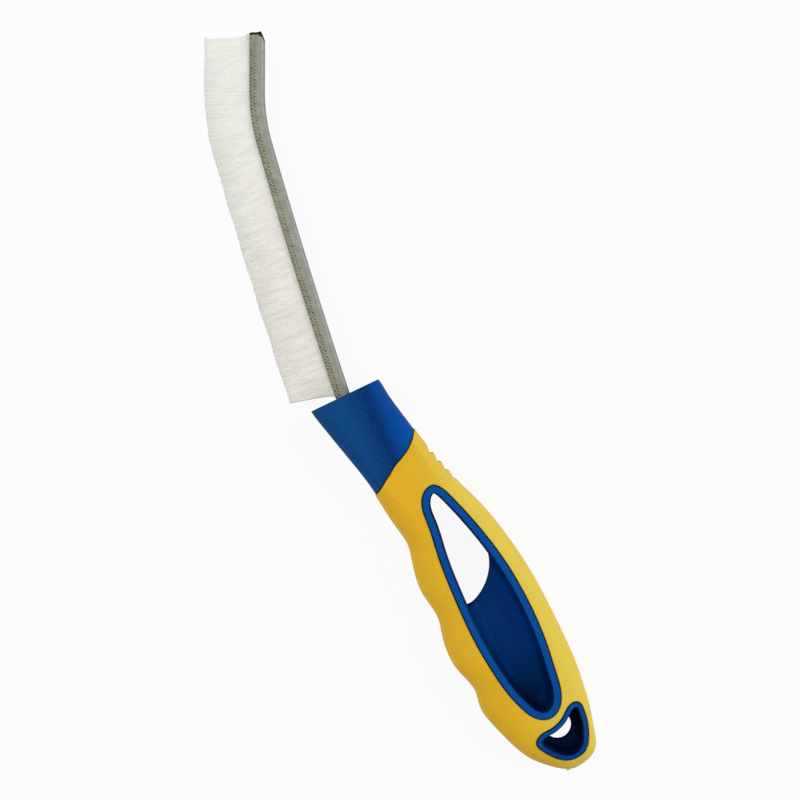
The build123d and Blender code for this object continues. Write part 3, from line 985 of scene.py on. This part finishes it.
def filament_line(distance, up, folded):
    """Points of one filament: (along, across, up) in mm, from its root to its trimmed end."""
    lean = math.radians(lean_at(distance) + tuft_lean(distance) + draw.gauss(0, lean_spread))
    length = trim_level - lip_level + trim_waver(distance) + draw.gauss(0, trim_spread)
    bow = draw.gauss(0, bow_spread)
    line = folded_root(distance, up) if folded else []
    line.append((distance, root_level, up))
    line.append((distance - end_pull(distance, 0), lip_level, up * lip_widening))
    near_end = min(distance - heel_gap, strip_end - distance) < toe_lean_run
    for share in curved_shares if near_end else straight_shares:
        reach = length * share
        leant = distance + math.tan(lean) * reach + bow * share * share
        along = leant - end_pull(distance, reach)
        line.append((along, lip_level + reach, up * (1 + fan_share * share)))
    return line


def rod_along(foot, line, points, faces):
    """Adds a thin three-sided rod along the line of the filament that stands at foot."""
    first = len(points)
    station_x, station_y, angle = strip_at(foot)
    for along, across, up in line:
        radius = filament_radius * (1 + tip_swell * max(0, across - lip_level) / trim_level)
        for side_along, side_up in rod_sides:
            shift = along - foot + side_along * radius
            points.append((
                (station_x + shift * math.cos(angle) - across * math.sin(angle)) * mm,
                (station_y + shift * math.sin(angle) + across * math.cos(angle)) * mm,
                (middle_height + up + side_up * radius) * mm,
            ))
    sides = len(rod_sides)
    last = first + (len(line) - 1) * sides
    for here in range(first, last, sides):
        beyond = here + sides
        for i in range(sides):
            j = (i + 1) % sides
            faces.append((here + i, here + j, beyond + j, beyond + i))
    faces.append((first + 2, first + 1, first))
    faces.append((last, last + 1, last + 2))


rings = [2 + len(shares) for shares in (straight_shares, curved_shares)]
print("a plain filament has", rings[0], "rings, one near an end", rings[1])

# %% [markdown]
# ## The whole pack
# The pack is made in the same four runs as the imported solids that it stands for. Random
# places over its thickness would clump and leave holes. A golden step from each filament
# to the next fills it evenly, and two in three are then moved towards the two faces,
# which is where they are seen.

# %% Make the four runs of filaments
end_gap = 0.14
folded_run = 0.9
golden = 0.618034
level_waver = 0.02
evenly_every = 3
crowding = 0.45


def make_filaments(name, node, start, end):
    """One run of the pack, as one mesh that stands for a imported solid."""
    points, faces = [], []
    count = round((end - start) * filaments_per_mm)
    for number in range(count):
        distance = start + (number + draw.random()) / count * (end - start)
        distance = min(max(distance, heel_gap + end_gap), strip_end - end_gap)
        folded = min(distance - heel_gap, strip_end - distance) < folded_run
        level = 2 * ((number * golden + level_waver * draw.random()) % 1) - 1
        if number % evenly_every:
            level = math.copysign(abs(level) ** crowding, level)
        up = level * (pack_half - filament_radius)
        rod_along(distance, filament_line(distance, up, folded), points, faces)
    mesh = bpy.data.meshes.new(name)
    mesh.from_pydata(points, [], faces)
    mesh.polygons.foreach_set("use_smooth", [True] * len(faces))
    mesh.update()
    piece = bpy.data.objects.new(name, mesh)
    bpy.context.scene.collection.objects.link(piece)
    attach(piece, "root")
    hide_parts(node)
    print(name, count, "filaments,", len(faces), "faces")
    return piece


half_bow = heel_gap + bow_length / 2
full_bow = heel_gap + bow_length
full_bend = full_bow + bend_length
filament_pieces = [
    make_filaments("filaments_heel", "bristles_heel", heel_gap, half_bow),
    make_filaments("filaments_middle", "bristles_middle", half_bow, full_bow),
    make_filaments("filaments_bend", "bristles_bend", full_bow, full_bend),
    make_filaments("filaments_toe", "bristles_toe", full_bend, strip_end),
]

# %% [markdown]
# ## Filament finish
# Undyed filament is milky white and hardly takes any light away, so the light that gets
# between the strands comes out again and the block glows evenly. The picture is worked
# out with only a few bounces of light, which would leave the gaps between the strands too
# dark, so a faint glow stands for the rest of it there. A slow drift between whites, a
# little greyer towards the heel, keeps the block from looking like paper.

# %% Milky filament
heel_dark, heel_light = from_srgb(222, 219, 209), from_srgb(236, 234, 226)
toe_dark, toe_light = from_srgb(230, 229, 222), from_srgb(239, 238, 232)
toe_from, toe_full = 30 * mm, 110 * mm
strand_streak, strands_along = 1.2, (1, 0.12, 1)
glow_colour = (1.0, 0.98, 0.94, 1)
gap_reach = 1.5
glow_in_gaps, glow_outside = 0.26, 0.015


def make_filament_finish():
    finish, shader = new_finish("milky_filament", 0.4)
    shader.inputs["Specular IOR Level"].default_value = 0.3
    streak = spread(finish, grain(finish, strand_streak, 3, strands_along), 0.3, 0.7, 0, 1)
    heel_white = blend_colours(finish, streak, heel_dark, heel_light)
    toe_white = blend_colours(finish, streak, toe_dark, toe_light)
    towards_toe = spread(finish, place_along(finish, "X"), toe_from, toe_full, 0, 1)
    wire_up(finish, blend_colours(finish, towards_toe, heel_white, toe_white), shader.inputs["Base Color"])
    shader.inputs["Emission Color"].default_value = glow_colour
    outside = openness(finish, gap_reach)
    glow = spread(finish, outside, 0.15, 0.75, glow_in_gaps, glow_outside)
    wire_up(finish, glow, shader.inputs["Emission Strength"])
    return finish


milky_filament = make_filament_finish()
for piece in filament_pieces:
    piece.data.materials.append(milky_filament)
print("filament finish on", len(filament_pieces), "pieces")

# %% [markdown]
# ## Sizes
# Last, the box of the imported model is printed.

# %% Print the imported box and finish
print("packed", [round(c / mm, 2) for c in (*packed_low, *packed_high)])
